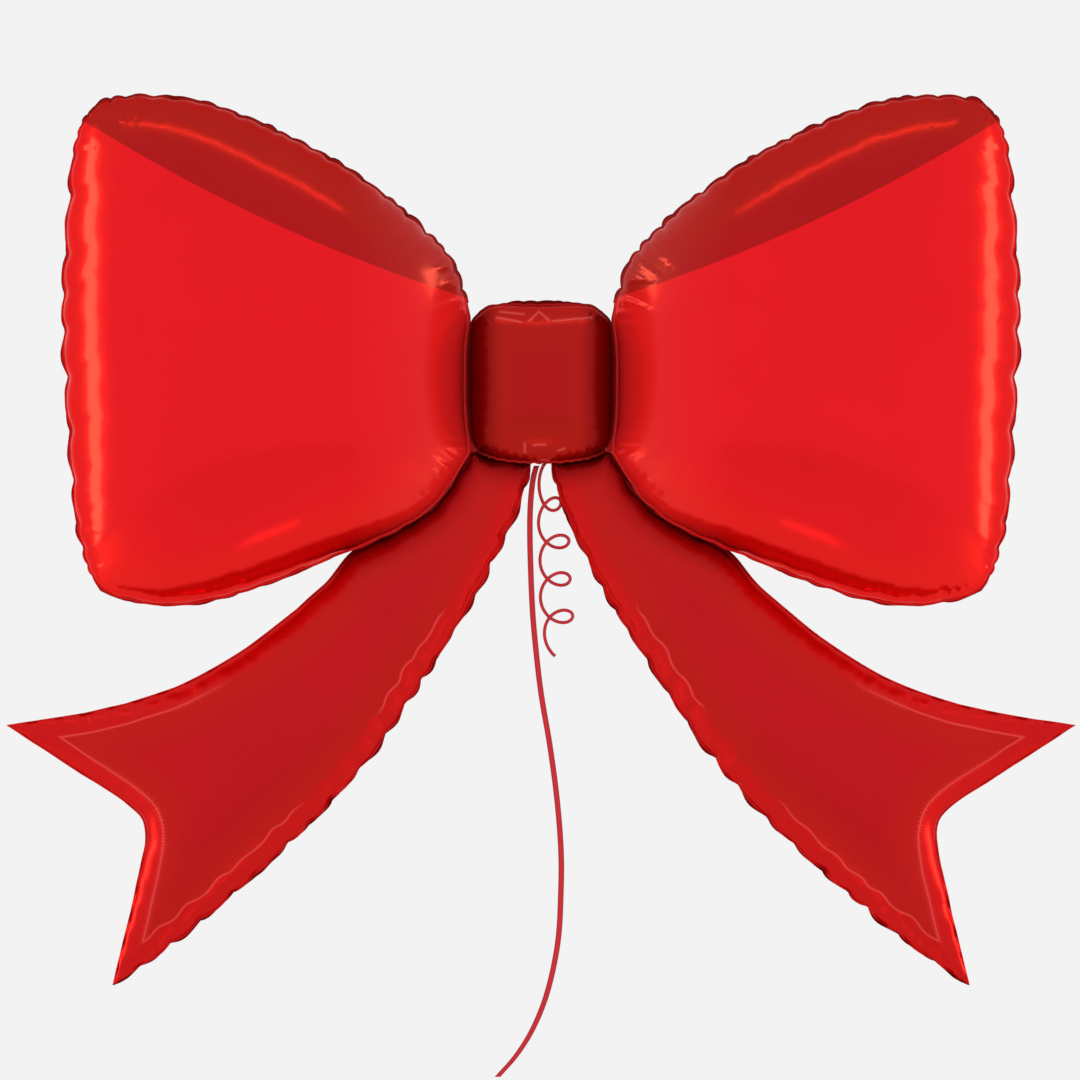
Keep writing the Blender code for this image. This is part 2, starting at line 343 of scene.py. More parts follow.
# Pressed creases on the front of the knot's brow and foot, in millimetres; the ink paints them with a
# highlight as well as a bump.
KNOT_LINES = [((-41, 135.8), (-18.6, 131)), ((-11, 132), (-1.9, 141)), ((-1.9, 141), (7.4, 133)),
              ((11.2, 132), (47, 135.6)), ((-38, 141), (-16, 138.5)), ((-7, 17), (4, 17.6)),
              ((-15, 10), (-15, 19)), ((16, 12), (22, 14))]
knot_foil = foil("knot_foil", KNOT_RED, rough=0.22, lines=KNOT_LINES)
# strip_foil is dark red: painted shade for the gaps between pouches that the strips and webs fill.
strip_foil = foil("strip_foil", SHADOWED_STRIP_RED, rough=0.3)
print("inks:", loop_foil.name, tail_foil.name, knot_foil.name)

# %% [markdown]
# Curling ribbon is dull on one face and satin on the other, and its colour here is darker towards
# its edges. The valve is a soft clear film. One recipe does for both, because each is a
# plain plastic with a fine grain in its colour, its gloss and its surface.


# %% Mix the ribbon and the valve film
def satin(name, colour, rough, grain_depth, edge_name=None):
    """Polypropylene ribbon: a soft sheen with a fine grain."""
    mix = Ink(name)
    grain = mix.noise(220.0)
    light = tuple(min(1.0, part * 1.15) for part in colour[:3]) + (1,)
    dark = tuple(part * 0.88 for part in colour[:3]) + (1,)
    tone = mix.blend(grain, dark, light)
    # The colour is darkened towards both edges of the ribbon.
    if edge_name:
        off = mix.value("ABSOLUTE", mix.value("MULTIPLY_ADD", mix.read(edge_name), 2.0, -1.0))
        tone = mix.tint(mix.value("POWER", off, 4.0), tone, (0.42, 0.3, 0.4, 1))
    mix.finish({"Base Color": tone, "Specular IOR Level": 0.25,
                "Roughness": mix.value("MULTIPLY_ADD", grain, 0.15, rough),
                "Normal": mix.bump(grain, grain_depth, 0.2 * MM)})
    return mix.material


ribbon_satin = satin("ribbon_satin", (0.68, 0.022, 0.034, 1), 0.42, 0.3, "across")
valve_clear = satin("valve_clear", (0.80, 0.80, 0.78, 1), 0.30, 0.2)
valve_clear.node_tree.nodes["Principled BSDF"].inputs["Transmission Weight"].default_value = 0.5
print("ribbon and valve film mixed")

# %% [markdown]
# ## Ribbons
#
# The long ribbon is polypropylene curling ribbon, 5 mm wide, that hangs from the tie in a lazy
# wave. The short one has been drawn over a blade, so it curls. Both are a flat ribbed section
# swept along a route, which is what Curve to Mesh in Geometry Nodes does well: the section's
# width, thickness and number of ribs are inputs, and the route is a plain curve.


# %% Build the ribbon sweep as a node tree
def ribbon_tree(material):
    tree = bpy.data.node_groups.new("flat_ribbed_ribbon", "GeometryNodeTree")
    face = tree.interface
    face.new_socket("Geometry", in_out="INPUT", socket_type="NodeSocketGeometry")
    for label, default in (("Width", 5 * MM), ("Thickness", 0.3 * MM), ("Rib Height", 0.12 * MM)):
        face.new_socket(label, in_out="INPUT", socket_type="NodeSocketFloat").default_value = default
    face.new_socket("Ribs", in_out="INPUT", socket_type="NodeSocketInt").default_value = 6
    face.new_socket("Geometry", in_out="OUTPUT", socket_type="NodeSocketGeometry")
    net = Nodes(tree)
    given = net.node("NodeGroupInput").outputs

    # The section: a line of points across the ribbon, ribbed by a cosine.
    start, end = (net.node("ShaderNodeCombineXYZ", {"X": net.value("MULTIPLY", given["Width"], sign)})
                  for sign in (-0.5, 0.5))
    line = net.node("GeometryNodeCurvePrimitiveLine", {"Start": start.outputs[0], "End": end.outputs[0]})
    count = net.value("MULTIPLY_ADD", given["Ribs"], 4.0, 1.0)
    fine = net.node("GeometryNodeResampleCurve", {"Curve": line.outputs[0], "Count": count})
    share = net.node("GeometryNodeSplineParameter").outputs["Factor"]
    turn = net.value("MULTIPLY", net.value("MULTIPLY", share, given["Ribs"]), 2 * math.pi)
    lift = net.value("MULTIPLY", net.value("COSINE", turn), given["Rib Height"])
    shift = net.node("ShaderNodeCombineXYZ", {"Y": lift}).outputs[0]
    ribbed = net.node("GeometryNodeSetPosition", {"Geometry": fine.outputs[0], "Offset": shift})
    section = net.node("GeometryNodeStoreNamedAttribute", {
        "Name": "across", "Geometry": ribbed.outputs[0], "Value": share}).outputs[0]

    # The route: its places tell which way the ribbon's flat side looks.
    route = net.node("GeometryNodeMeshToCurve", {"Mesh": given["Geometry"]}).outputs[0]
    side = net.node("GeometryNodeInputNamedAttribute", {"Name": "side"}, data_type="FLOAT_VECTOR")
    facing = net.node("GeometryNodeSetCurveNormal", {
        "Curve": route, "Normal": side.outputs["Attribute"]}, mode="FREE").outputs[0]
    flat = net.node("GeometryNodeCurveToMesh", {"Curve": facing, "Profile Curve": section}).outputs[0]

    # The thickness: one skin is pushed out and the other turned round to close it.
    thick = net.node("GeometryNodeExtrudeMesh", {
        "Mesh": flat, "Individual": False, "Offset Scale": given["Thickness"]}, mode="FACES")
    turned = net.node("GeometryNodeFlipFaces", {"Mesh": flat}).outputs[0]
    both = net.node("GeometryNodeJoinGeometry", {0: thick.outputs["Mesh"]})
    net.feed(both.inputs[0], turned)
    done = net.node("GeometryNodeMergeByDistance", {
        "Geometry": both.outputs[0], "Distance": 0.01 * MM}).outputs[0]
    for kind in ("SetShadeSmooth", "RealizeInstances"):
        done = net.node(f"GeometryNode{kind}", {"Geometry": done}).outputs[0]
    done = net.node("GeometryNodeSetMaterial", {"Geometry": done, "Material": material}).outputs[0]
    net.node("NodeGroupOutput", {0: done})
    return tree


def bake_nodes(name, holder, tree, **sizes):
    """Runs the tree on the holder object and returns the result as a plain mesh piece."""
    step = holder.modifiers.new("nodes", "NODES")
    step.node_group = tree
    sockets = {item.name: item.identifier for item in tree.interface.items_tree
               if item.in_out == "INPUT"}
    for label, value in sizes.items():
        step[sockets[label.replace("_", " ")]] = value
    bpy.context.view_layer.update()
    shown = holder.evaluated_get(bpy.context.evaluated_depsgraph_get())
    data = bpy.data.meshes.new_from_object(shown)
    holder.modifiers.remove(step)
    bpy.data.objects.remove(holder, do_unlink=True)
    data.name = name
    return new_piece(name, data)


def route_line(name, places, sides):
    """A chain of edges along the route; each place knows which way the ribbon's flat side looks."""
    data = bpy.data.meshes.new(name)
    steps = [(k, k + 1) for k in range(len(places) - 1)]
    data.from_pydata([tuple(place) for place in places], steps, [])
    looks = data.attributes.new("side", "FLOAT_VECTOR", "POINT")
    looks.data.foreach_set("vector", np.array(sides, np.float32).ravel())
    return new_piece(name, data)


sweep = ribbon_tree(ribbon_satin)
print("sweep inputs:", [item.name for item in sweep.interface.items_tree if item.in_out == "INPUT"])

# %% [markdown]
# The long ribbon goes over the working model's tube, place by place, and keeps its length. It rides
# its own body, so it swings under the tie.

# %% Hang the long ribbon
TETHER_WIDTH = 5 * MM
# The same places as the working model's, in millimetres.
TETHER_ROUTE = [(-4.0, 14, -1.4), (-6.0, 14, -8), (-8.2, 14, -20), (-10.0, 14, -42), (-10.2, 14, -74),
                (-8.4, 14, -127), (-5.6, 15, -164), (0.0, 16, -213), (8.4, 16, -263), (14.9, 16, -312),
                (18.6, 15, -359), (18.6, 14, -398), (15.8, 13, -445), (6.5, 12, -490), (-6.5, 12, -524),
                (-22.3, 12, -550), (-40.5, 12, -571)]
tether_path = smooth_line(TETHER_ROUTE, np.linspace(0, 1, 260)) * MM
tether_line = route_line("tether_route", tether_path, [(1, 0, 0)] * len(tether_path))
tether = bake_nodes("tether_ribbon_ribbed", tether_line, sweep, Width=TETHER_WIDTH)
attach(tether, "tether")
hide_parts("tether_ribbon")

# %% [markdown]
# A curl is a screw line that hangs: it turns round an axis, steps down once a turn, and is tilted a
# little so that its turns show as open loops from the front. Its turns grow wider as they go down.

# %% Curl the short ribbon
CURL_WIDTH = 2.7 * MM
CURL_PITCH = 34.9 * MM
CURL_START, CURL_END = -1.5 * math.pi, 7.4 * math.pi
CURL_TILT = 13.5 * MM
CURL_FIRST_Z = -37.2 * MM
CURL_AXIS_Y = 14 * MM
CURL_DEPTH_SHARE = 0.8
# Along the curl from 0 to 1: the axis's x and the curl's half width, in millimetres.
CURL_AXIS_X = ((0, 5.6), (0.17, 8.2), (0.4, 12.6), (0.7, 13.4), (1, 17.0))
CURL_RADIUS = ((0, 8), (0.10, 8.5), (0.17, 10.4), (0.3, 13), (0.4, 13.6), (0.9, 14.6), (1, 12))
CURL_TURNS = (CURL_END - CURL_START) / (2 * math.pi)

curl_angle = np.linspace(CURL_START, CURL_END, int(CURL_TURNS * 48))
curl_share = (curl_angle - CURL_START) / (CURL_END - CURL_START)
curl_half = np.interp(curl_share, *zip(*CURL_RADIUS)) * MM
curl_x = np.interp(curl_share, *zip(*CURL_AXIS_X)) * MM + curl_half * np.cos(curl_angle)
curl_open = np.clip(curl_share * CURL_TURNS / 1.5, 0.15, 1)
curl_y = CURL_AXIS_Y - CURL_DEPTH_SHARE * curl_half * curl_open * np.sin(curl_angle)
curl_z = CURL_FIRST_Z - CURL_PITCH * curl_angle / (2 * math.pi) + CURL_TILT * np.sin(curl_angle)
curl_path = np.column_stack([curl_x, curl_y, curl_z])
curl_sides = np.cross(np.gradient(curl_path, axis=0), (0, 1, 0))
curl_sides /= np.linalg.norm(curl_sides, axis=1)[:, None]
curl_line = route_line("curl_route", curl_path, curl_sides)
curl = bake_nodes("curled_ribbon_ribbed", curl_line, sweep, Width=CURL_WIDTH, Ribs=4)
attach(curl, "curl")
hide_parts("curled_ribbon")

# %% [markdown]
# ## Pouches
#
# A pouch is cut as two flat films and welded round a narrow flange. Gas swells it: the middle
# rises, and the edge, which now has too much film, gathers into scallops with a crease at each
# one. The outline is drawn as four sides, the scallops are cut into them, and the height comes
# from the equation of a blown membrane, so the margins stay parallel to the edges like real foil.


# %% Draw the outline with its scallops
FILM = 0.25 * MM
SEAM_GAP = 0.6 * MM
FLANGE = 1.7
DENSE_STEP = 0.8
# Sides are drawn on past their corners by this much, so that neighbours cross.
OVERSHOOT = 15


def scallop(line, cuts):
    """The line pulled in between its bulges; cuts are (place along the line, depth)."""
    run = np.concatenate([[0], np.cumsum(np.linalg.norm(np.diff(line, axis=0), axis=1))])
    places = np.array([0, *(place for place, _ in cuts), run[-1]])
    depths = np.array([0, *(depth for _, depth in cuts), 0])
    span = np.clip(np.searchsorted(places, run, "right") - 1, 0, len(places) - 2)
    along = (run - places[span]) / (places[span + 1] - places[span])
    depth = depths[span] * (1 - along) + depths[span + 1] * along
    return depth * (2 * along - 1) ** 2


def inward(line, turn):
    step = np.gradient(line, axis=0)
    step /= np.linalg.norm(step, axis=1)[:, None]
    return turn * np.column_stack([-step[:, 1], step[:, 0]])


def random_cuts(length, spacing, depth, dice):
    """Seeded places for the scallops of one side, about this far apart."""
    count = max(int(round(length / spacing)), 2)
    steps = dice.uniform(0.6, 1.4, count)
    places = np.cumsum(steps)[:-1] / steps.sum() * length
    return [(place, depth * dice.uniform(0.5, 1.3)) for place in places]


def crossing(first, second, corner):
    """Where two lines cross nearest the corner, as lengths along each of them."""
    r, s = np.diff(first, axis=0), np.diff(second, axis=0)
    gap = second[None, :-1] - first[:-1, None]
    turn = r[:, None, 0] * s[None, :, 1] - r[:, None, 1] * s[None, :, 0]
    turn[np.abs(turn) < 1e-12] = 1e-12
    t = (gap[..., 0] * s[None, :, 1] - gap[..., 1] * s[None, :, 0]) / turn
    u = (gap[..., 0] * r[:, None, 1] - gap[..., 1] * r[:, None, 0]) / turn
    hits = np.argwhere((t >= 0) & (t < 1) & (u >= 0) & (u < 1))
    places = [first[i] + r[i] * t[i, j] for i, j in hits]
    best = hits[int(np.argmin([np.linalg.norm(place - corner) for place in places]))]
    i, j = best
    runs = [np.concatenate([[0], np.cumsum(np.linalg.norm(line, axis=1))]) for line in (r, s)]
    return (runs[0][i] + t[i, j] * np.linalg.norm(r[i]), runs[1][j] + u[i, j] * np.linalg.norm(s[j]))


def piece_of(line, start, end, shares):
    run = np.concatenate([[0], np.cumsum(np.linalg.norm(np.diff(line, axis=0), axis=1))])
    want = start + (end - start) * shares
    return np.column_stack([np.interp(want, run, line[:, k]) for k in range(2)])


def stations(count):
    """Shares of the way across, closer together near both edges."""
    even = np.linspace(0, 1, count + 1)
    return 0.45 * even + 0.55 * (0.5 - 0.5 * np.cos(np.pi * even))


# %% [markdown]
# The grid is laid between the four welds, finer near them, where the creases are. A blown membrane
# sags like a soap film under even pressure, so its height is the solution of one linear system; it
# is found with conjugate gradients, which needs only products and sums. Then each scallop's notch
# presses a crease into the margin.

# %% Lay out a pouch's grid
BATCH = 2000
MOST_STEPS = 1500
CLOSE_ENOUGH = 1e-10


class Pouch:
    """The flat grid of a pouch and how high each of its places rises."""

    def __init__(self, first, last, start, end, cuts, rows, columns, rise, power=0.55, seed=1):
        dice = np.random.default_rng(seed)
        sides, inner, notches = [], [], []
        way = np.cross(np.subtract(first[-1], first[0]), np.subtract(start[-1], start[0]))
        self.way = 1 if way > 0 else -1
        for side, side_cuts, turn in zip((first, last, start, end), cuts, (1, -1, -1, 1)):
            line = smooth_line(side, np.linspace(0, 1, int(line_length(side) / DENSE_STEP)))
            if isinstance(side_cuts, tuple):
                side_cuts = random_cuts(line_length(line), *side_cuts, dice)
            normal = inward(line, turn * self.way)
            line = line + normal * scallop(line, side_cuts)[:, None]
            run = np.concatenate([[0], np.cumsum(np.linalg.norm(np.diff(line, axis=0), axis=1))])
            for place, depth in side_cuts:
                notches.append((line[int(np.searchsorted(run, place))], depth))
            sides.append(line)
            weld = line + normal * FLANGE
            before, after = weld[0] - weld[2], weld[-1] - weld[-3]
            before = weld[0] + before / np.linalg.norm(before) * OVERSHOOT
            after = weld[-1] + after / np.linalg.norm(after) * OVERSHOOT
            inner.append(np.vstack([before, weld, after]))
        a, b, c, d = inner
        ac = crossing(a, c, sides[0][0])
        ad = crossing(a, d, sides[0][-1])
        bc = crossing(b, c, sides[1][0])
        bd = crossing(b, d, sides[1][-1])
        down, across = stations(rows), stations(columns)
        top = piece_of(a, ac[0], ad[0], across)
        low = piece_of(b, bc[0], bd[0], across)
        near = piece_of(c, ac[1], bc[1], down)
        far = piece_of(d, ad[1], bd[1], down)
        s, t = down[:, None, None], across[None, :, None]
        corners = ((1 - s) * ((1 - t) * top[0] + t * top[-1]) + s * ((1 - t) * low[0] + t * low[-1]))
        grid = (1 - s) * top[None] + s * low[None] + (1 - t) * near[:, None] + t * far[:, None] - corners
        self.rows, self.columns = rows, columns
        self.flat = grid.reshape(-1, 2)
        number = np.arange(len(self.flat)).reshape(rows + 1, columns + 1)
        self.ring = np.concatenate([number[0, :-1], number[:-1, -1], number[-1, :0:-1], number[:0:-1, 0]])
        edges = [piece_of(line, 0, line_length(line), share)
                 for line, share in zip(sides, (across, across, down, down))]
        self.edge = np.vstack([edges[0][:-1], edges[3][:-1], edges[1][:0:-1], edges[2][:0:-1]])
        self.quads = np.column_stack([part.ravel() for part in (
            number[:-1, :-1], number[1:, :-1], number[1:, 1:], number[:-1, 1:])])
        self.shade, self.pressed, self.gathered = (np.zeros(len(self.flat)) for _ in range(3))
        self.measure_rim(notches, dice)
        self.swell(rise, power)

    def measure_rim(self, notches, dice):
        """How far each place is from the weld, and beside which place of the weld it lies."""
        ring = self.flat[self.ring]
        steps = np.linalg.norm(np.diff(np.vstack([ring, ring[:1]]), axis=0), axis=1)
        self.perimeter = steps.sum()
        run = np.concatenate([[0], np.cumsum(steps)[:-1]])
        corners = (self.columns, self.columns + self.rows, 2 * self.columns + self.rows)
        self.corner_runs = [run[k] for k in corners]
        fine = np.arange(0, self.perimeter, 1.0)
        closed = np.vstack([ring, ring[:1]])
        ends = np.append(run, self.perimeter)
        line = np.column_stack([np.interp(fine, ends, closed[:, k]) for k in (0, 1)])
        self.distance = np.empty(len(self.flat))
        self.beside = np.empty(len(self.flat))
        for start in range(0, len(self.flat), BATCH):
            part = self.flat[start:start + BATCH]
            apart = ((part[:, None] - line[None]) ** 2).sum(axis=2)
            nearest = apart.argmin(axis=1)
            self.distance[start:start + BATCH] = np.sqrt(apart[np.arange(len(part)), nearest])
            self.beside[start:start + BATCH] = fine[nearest]
        self.distance[self.ring] = 0
        self.beside[self.ring] = run
        self.creases = []
        for place, depth in notches:
            where = fine[((line - place) ** 2).sum(axis=1).argmin()]
            self.creases.append((where, depth, dice.uniform(0.7, 1.5)))
        self.waves = [(dice.uniform(9, 17), dice.uniform(0, 6.28), dice.uniform(0.5, 1))
                      for _ in range(5)]
        self.sways = [(dice.uniform(24, 60), dice.uniform(0, 6.28), dice.uniform(0.4, 1))
                      for _ in range(4)]

    def swell(self, rise, power):
        """Solves the blown membrane: zero on the weld, the same push everywhere inside."""
        corners = np.vstack([self.quads[:, [0, 1, 2]], self.quads[:, [0, 2, 3]]])
        heads, tails, weights = [], [], []
        push = np.zeros(len(self.flat))
        for k in range(3):
            i, j, m = corners[:, k], corners[:, (k + 1) % 3], corners[:, (k + 2) % 3]
            a, b = self.flat[i] - self.flat[m], self.flat[j] - self.flat[m]
            area = np.abs(a[:, 0] * b[:, 1] - a[:, 1] * b[:, 0])
            heads.append(i)
            tails.append(j)
            weights.append((a * b).sum(axis=1) / area / 2)
            push += np.bincount(i, area / 6, len(push))
        heads, tails, weights = map(np.concatenate, (heads, tails, weights))
        free = np.ones(len(push))
        free[self.ring] = 0

        def pull(field):
            flow = weights * (field[heads] - field[tails])
            return (np.bincount(heads, flow, len(field)) - np.bincount(tails, flow, len(field))) * free

        stiff = np.bincount(heads, weights, len(push)) + np.bincount(tails, weights, len(push))
        scale = free / np.maximum(stiff, 1e-9)
        field = np.zeros(len(push))
        left = push * free
        step = scale * left
        now = (left * step).sum()
        first = now
        for _ in range(MOST_STEPS):
            drawn = pull(step)
            size = now / (step * drawn).sum()
            field += size * step
            left -= size * drawn
            better = scale * left
            then = (left * better).sum()
            if then < first * CLOSE_ENOUGH:
                break
            step = better + then / now * step
            now = then
        self.height = np.clip(field / field.max(), 0, 1) ** power * rise
        print("blown to", round(self.height.max(), 1), "mm")

    def pucker(self, crease_depth=0.75, crease_reach=11, crease_width=3.4, ripple=0.3):
        """A crease runs in from each scallop's notch, with fine ripples between them."""
        out = self.distance
        for where, depth, reach in self.creases:
            apart = (self.beside - where + self.perimeter / 2) % self.perimeter - self.perimeter / 2
            x = out / (crease_reach * reach)
            width = crease_width * (0.7 + 0.5 * x)
            self.height -= depth * crease_depth * np.exp(-(apart / width) ** 2) * x * np.exp(1 - x)
        wave = sum(a * np.sin(6.2832 * self.beside / s + p) for s, p, a in self.waves)
        x = out / 5.5
        self.height += ripple * wave * x * np.exp(1 - x)
        self.height = np.maximum(self.height, 0)
        sway = sum(a * np.sin(6.2832 * self.beside / s + p) for s, p, a in self.sways)
        self.sway = 0.9 * sway * np.exp(-out / 9)


print("scallops are cut into lines with a place every", DENSE_STEP, "mm")

# %% [markdown]
# One grid makes two films, a front one and a back one, and a thin gap between them stands for the
# weld. Each film has its own thickness, so it is a closed skin. The back film is cut a little
# larger, so a dark line of it shows round the outline.


# %% Make the films
def film(name, pouch, side, material, node, body, middle=0.0, spread=0.0, brow=0.0,
         edge_shade=0.0, lower_only=False):
    """One film of a pouch as a thin closed skin; side is -1 in front and +1 behind."""
    ring = pouch.ring
    edge = pouch.edge
    if spread:
        out = -inward(np.vstack([edge, edge[:1]]), pouch.way)[:-1]
        wander = np.sin(pouch.beside[ring] / 13.0) + np.sin(pouch.beside[ring] / 5.1 + 1)
        wander = spread * np.clip(0.5 + 0.5 * wander, 0, 1.4)
        if lower_only:
            wander *= pouch.beside[ring] > pouch.corner_runs[1]
        edge = edge + out * wander[:, None]
    if brow:
        lift = brow * np.clip(1 - (edge[:, 0] / 37) ** 2, 0, 1) * (edge[:, 1] > 130)
        edge = edge + np.column_stack([np.zeros(len(edge)), lift])
    weld = pouch.flat[ring]
    half = weld * 0.5 + edge * 0.5
    flat = np.vstack([pouch.flat, half, edge])
    height = np.concatenate([pouch.height, np.zeros(2 * len(ring))])
    sway = np.concatenate([pouch.sway, pouch.sway[ring] * 1.1, pouch.sway[ring] * 1.25])
    rim = np.concatenate([pouch.distance, np.full(len(ring), -FLANGE / 2), np.full(len(ring), -FLANGE)])
    rest = SEAM_GAP / MM / 2
    skin = FILM / MM
    y_out = middle + sway + side * (rest + skin + height)
    y_in = middle + sway + side * (rest + height)
    count = len(flat)
    n = len(ring)
    here = len(pouch.flat) + np.arange(n)
    after = np.roll(here, -1)
    quads = [pouch.quads,
             np.column_stack([ring, np.roll(ring, -1), after, here]),
             np.column_stack([here, after, after + n, here + n])]
    a, b = flat[quads[0][:, 1]] - flat[quads[0][:, 0]], flat[quads[0][:, 3]] - flat[quads[0][:, 0]]
    faces_front = (a[:, 0] * b[:, 1] - a[:, 1] * b[:, 0]).sum() * -1 > 0
    c, d = flat[ring[1]] - flat[ring[0]], flat[here[0]] - flat[ring[0]]
    ring_front = (c[0] * d[1] - c[1] * d[0]) * -1 > 0
    skin_faces = []
    for k, part in enumerate(quads):
        points_front = faces_front if k == 0 else ring_front
        # x to the right and z up, seen from the front, turn against the +Y axis
        keep = points_front == (side > 0)
        skin_faces.append(part if keep else part[:, ::-1])
    outer = np.vstack(skin_faces)
    rim_now, rim_next = here + n, after + n
    wall = np.column_stack([rim_now, rim_next, rim_next + count, rim_now + count])
    if not ring_front == (side > 0):
        wall = wall[:, ::-1]
    faces = np.vstack([outer, outer[:, ::-1] + count, wall[:, ::-1]])
    places = np.vstack([np.column_stack([flat[:, 0], y_out, flat[:, 1]]),
                        np.column_stack([flat[:, 0], y_in, flat[:, 1]])]) * MM
    data = bpy.data.meshes.new(name)
    data.from_pydata(places.tolist(), [], faces.tolist())
    data.shade_smooth()
    data.set_sharp_from_angle(angle=math.radians(60))
    # The weld rows take the darker of the pouch's painted shade and edge_shade, which darkens the flange.
    dark = np.maximum(pouch.shade[ring], edge_shade)
    shade = np.concatenate([pouch.shade, dark, dark])
    laid = np.concatenate([np.arange(len(pouch.flat)), ring, ring])
    for label, values in (("rim", rim * MM), ("shade", shade), ("along", pouch.beside[laid] * MM),
                          ("pressed", pouch.pressed[laid]), ("gathered", pouch.gathered[laid])):
        layer = data.attributes.new(label, "FLOAT", "POINT")
        layer.data.foreach_set("value", np.tile(values, 2).astype(np.float32))
    piece = new_piece(name, data, material)
    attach(piece, body)
    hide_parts(node)
    print(name, len(data.polygons), "faces")
    return piece


print("a film is", FILM / MM, "mm thick, and its weld is", FLANGE, "mm wide")

# %% [markdown]
# The two loops are the big chambers. The outer side has the deepest scallops, because the film has
# the furthest to come in there, and towards the knot the pouch is pinched flat.

# %% Blow the loops
# The outlines are in millimetres, for the left side; the right one is its mirror image.
LOOP_INNER = [(-68, 150), (-67, 131), (-69.4, 110), (-70, 78), (-69.2, 44), (-66.6, 22), (-66, 10)]
LOOP_OUTER = [(-417, 331), (-427, 318), (-435, 294), (-442, 232), (-446, 120), (-436, -33), (-427, -80),
              (-420, -102), (-409, -117)]
LOOP_TOP = [(-68, 150), (-77, 180), (-92, 204), (-140, 248), (-206, 292), (-294, 332), (-350, 343),
            (-385, 343.5), (-405, 340), (-417, 331)]
LOOP_BOTTOM = [(-66, 10), (-94, -33), (-128, -59), (-196, -89), (-280, -121), (-336, -132), (-370, -130),
               (-395, -124), (-409, -117)]
LOOP_OUTER_CUTS = [(7, 1.4), (18, 1.8), (31, 2.0), (48, 2.4), (86, 4.4), (142, 4.2), (178, 3.2), (212, 4.0),
                   (256, 4.6), (306, 4.2), (352, 3.2), (392, 2.6), (416, 2.2), (432, 1.8), (444, 1.4)]


def mirrored(points):
    return [(-x, z) for x, z in points]


for hand, flip, seed in (("left", list, 11), ("right", mirrored, 12)):
    loop = Pouch(flip(LOOP_TOP), flip(LOOP_BOTTOM), flip(LOOP_INNER), flip(LOOP_OUTER),
                 ((19, 2.6), (34, 1.3), (60, 0.05), LOOP_OUTER_CUTS), 160, 150, 100, seed=seed)
    # Towards the knot the loop is pinched flatter.
    loop.height *= 1 - 0.5 * np.exp(-(np.abs(loop.flat[:, 0]) - 70) / 42)
    loop.pucker(crease_depth=0.5, crease_reach=8)
    loop.sway *= np.clip((np.abs(loop.flat[:, 0]) - 76) / 30, 0, 1)
    film(f"{hand}_loop_front_blown", loop, -1, loop_foil, edge_shade=0.4, node=f"{hand}_loop_front_film",
         body=f"{hand}_loop")
    film(f"{hand}_loop_back_blown", loop, 1, loop_foil, spread=1.2, edge_shade=0.8,
         node=f"{hand}_loop_back_film", body=f"{hand}_loop")

# %% [markdown]
# The tails hang behind the loops and are flatter. Along parts of their edges a crease was pressed
# when the film was folded, and round the notch the film is gathered in short ticks. Both are left
# to the material, which reads them from attributes that are stored on the film, bumps them and
# paints them with a highlight; between the crease and the edge it paints a lighter margin as highlight.

# %% Blow the tails
TAIL_BACK = 6.0
TAIL_ROOT = [(-64, 14), (-50, 9), (-30, 4.5), (-9, 2.5)]
TAIL_UPPER = [(-64, 14), (-72, 1), (-95.5, -33.5), (-129, -58), (-174, -79.5), (-206, -115), (-271, -168),
              (-336, -205), (-410, -228), (-498, -243)]
TAIL_LOWER = [(-9, 2.5), (-12, -17), (-30, -63), (-57, -117), (-100, -187), (-154, -268), (-207, -328),
              (-275, -392), (-345, -450), (-399, -485)]
TAIL_END = [(-498, -243), (-434, -285), (-385, -317), (-369, -340), (-376, -387), (-399, -485)]


def fade(values, start, end):
    """0 up to the start and 1 past the end."""
    share = np.clip((values - start) / (end - start), 0, 1)
    return share * share * (3 - 2 * share)


KNOT_UNDER = [(-66, 10), (-44, 4.6), (-24, 1.2), (-8, 0)]

for hand, flip, seed in (("left", list, 21), ("right", mirrored, 22)):
    tail = Pouch(flip(TAIL_UPPER), flip(TAIL_LOWER), flip(TAIL_ROOT), flip(TAIL_END),
                 ((60, 0.5), (33, 3.2), (20, 0.4), (60, 0.5)), 76, 230, 37, power=0.52, seed=seed)
    tail.pucker(crease_depth=0.35, crease_reach=6, ripple=0.16)
    # Painted shadow: the shadow of the loop and the knot on the tail's root is painted softly into its
    # colour.
    covers = np.vstack([smooth_line(flip(line), np.linspace(0, 1, 300))
                        for line in (LOOP_BOTTOM, KNOT_UNDER)])
    near = np.sqrt(((tail.flat[:, None] - covers[None]) ** 2).sum(axis=2).min(axis=1))
    tail.shade = 0.85 * np.exp(-(near / 17) ** 2)
    # Parts of each edge have a pressed crease; round the notch it is gathered as well.
    out = np.abs(tail.flat[:, 0])
    upper_end, notch_end, lower_end = tail.corner_runs
    on_upper = (tail.beside < upper_end) * fade(out, 290, 330)
    on_notch = ((tail.beside >= upper_end) & (tail.beside < notch_end)) * 1.0
    on_lower = (tail.beside >= notch_end) * (tail.beside < lower_end)
    on_lower = on_lower * np.maximum(fade(out, 215, 235), fade(out, 86, 96) * (1 - fade(out, 145, 155)))
    tail.pressed = on_upper + on_notch + on_lower
    tail.gathered = on_notch * (1 - fade(out, 405, 430)) + (tail.beside < upper_end) * (
        fade(out, 285, 300) * (1 - fade(out, 330, 350)))
    film(f"{hand}_tail_front_blown", tail, -1, tail_foil, middle=TAIL_BACK,
         node=f"{hand}_tail_front_film", body=f"{hand}_tail")
    film(f"{hand}_tail_back_blown", tail, 1, tail_foil, middle=TAIL_BACK, spread=1.7, edge_shade=0.85,
         lower_only=True, node=f"{hand}_tail_back_film", body=f"{hand}_tail")

